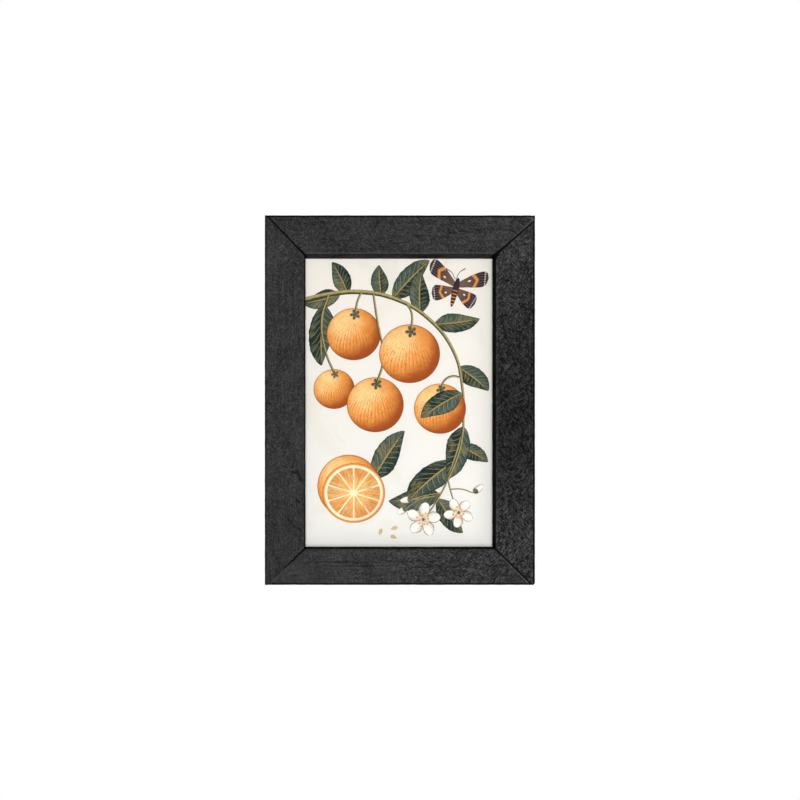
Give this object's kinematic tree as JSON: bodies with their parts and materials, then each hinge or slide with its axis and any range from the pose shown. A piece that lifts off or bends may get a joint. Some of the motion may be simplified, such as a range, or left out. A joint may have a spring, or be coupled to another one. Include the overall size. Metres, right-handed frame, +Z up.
{
  "type": "framed print",
  "caption": "Upright framed print: mitred black wooden rails around a printed sheet behind glass, with a backing held in by turn buttons and a sawtooth hanger to hang it on a wall.",
  "frame": {"origin": "middle notch of the sawtooth hanger, in the plane of the rails' backs", "axes": "+X to the right seen from the front, +Y back towards the wall, +Z up"},
  "size_m": [0.2696, 0.032, 0.3688],
  "materials": {
    "black_wood": "black stained, rough brushed grain, matt",
    "clear_glass": "clear polished float glass",
    "printed_paper": "cream art paper with a printed fruit branch, matt",
    "backing_card": "grey-brown board",
    "hardboard": "pressed fibre board, smooth",
    "zinc_steel": "zinc plated",
    "brass_screw": "brass plated",
    "felt_pad": "dense grey felt"
  },
  "bodies": {
    "frame": {"rail_top": "black_wood", "rail_right": "black_wood", "rail_bottom": "black_wood", "rail_left": "black_wood", "glass_pane": "clear_glass", "art_print": "printed_paper", "backing_card": "backing_card", "back_board": "hardboard", "button_screw_left_upper": "brass_screw", "button_screw_left_lower": "brass_screw", "button_screw_right_upper": "brass_screw", "button_screw_right_lower": "brass_screw", "button_screw_top": "brass_screw", "button_screw_bottom": "brass_screw", "sawtooth_hanger": "zinc_steel", "hanger_nail_left": "zinc_steel", "hanger_nail_right": "zinc_steel", "corner_nail_top_left_1": "zinc_steel", "corner_nail_top_left_2": "zinc_steel", "corner_nail_top_right_1": "zinc_steel", "corner_nail_top_right_2": "zinc_steel", "corner_nail_bottom_left_1": "zinc_steel", "corner_nail_bottom_left_2": "zinc_steel", "corner_nail_bottom_right_1": "zinc_steel", "corner_nail_bottom_right_2": "zinc_steel", "wall_bumper_left": "felt_pad", "wall_bumper_right": "felt_pad"},
    "button_left_upper": {"turn_button_left_upper": "zinc_steel"},
    "button_left_lower": {"turn_button_left_lower": "zinc_steel"},
    "button_right_upper": {"turn_button_right_upper": "zinc_steel"},
    "button_right_lower": {"turn_button_right_lower": "zinc_steel"},
    "button_top": {"turn_button_top": "zinc_steel"},
    "button_bottom": {"turn_button_bottom": "zinc_steel"}
  },
  "joints": [
    {"name": "button_left_upper_turn", "type": "hinge", "parent": "frame", "child": "button_left_upper", "pos_m": [-0.107, 0.0009, -0.0911], "axis": [0, 1, 0], "continuous": true},
    {"name": "button_left_lower_turn", "type": "hinge", "parent": "frame", "child": "button_left_lower", "pos_m": [-0.107, 0.0009, -0.2611], "axis": [0, 1, 0], "continuous": true},
    {"name": "button_right_upper_turn", "type": "hinge", "parent": "frame", "child": "button_right_upper", "pos_m": [0.107, 0.0009, -0.0911], "axis": [0, 1, 0], "continuous": true},
    {"name": "button_right_lower_turn", "type": "hinge", "parent": "frame", "child": "button_right_lower", "pos_m": [0.107, 0.0009, -0.2611], "axis": [0, 1, 0], "continuous": true},
    {"name": "button_top_turn", "type": "hinge", "parent": "frame", "child": "button_top", "pos_m": [0, 0.0009, -0.0191], "axis": [0, 1, 0], "continuous": true},
    {"name": "button_bottom_turn", "type": "hinge", "parent": "frame", "child": "button_bottom", "pos_m": [0, 0.0009, -0.3331], "axis": [0, 1, 0], "continuous": true}
  ]
}
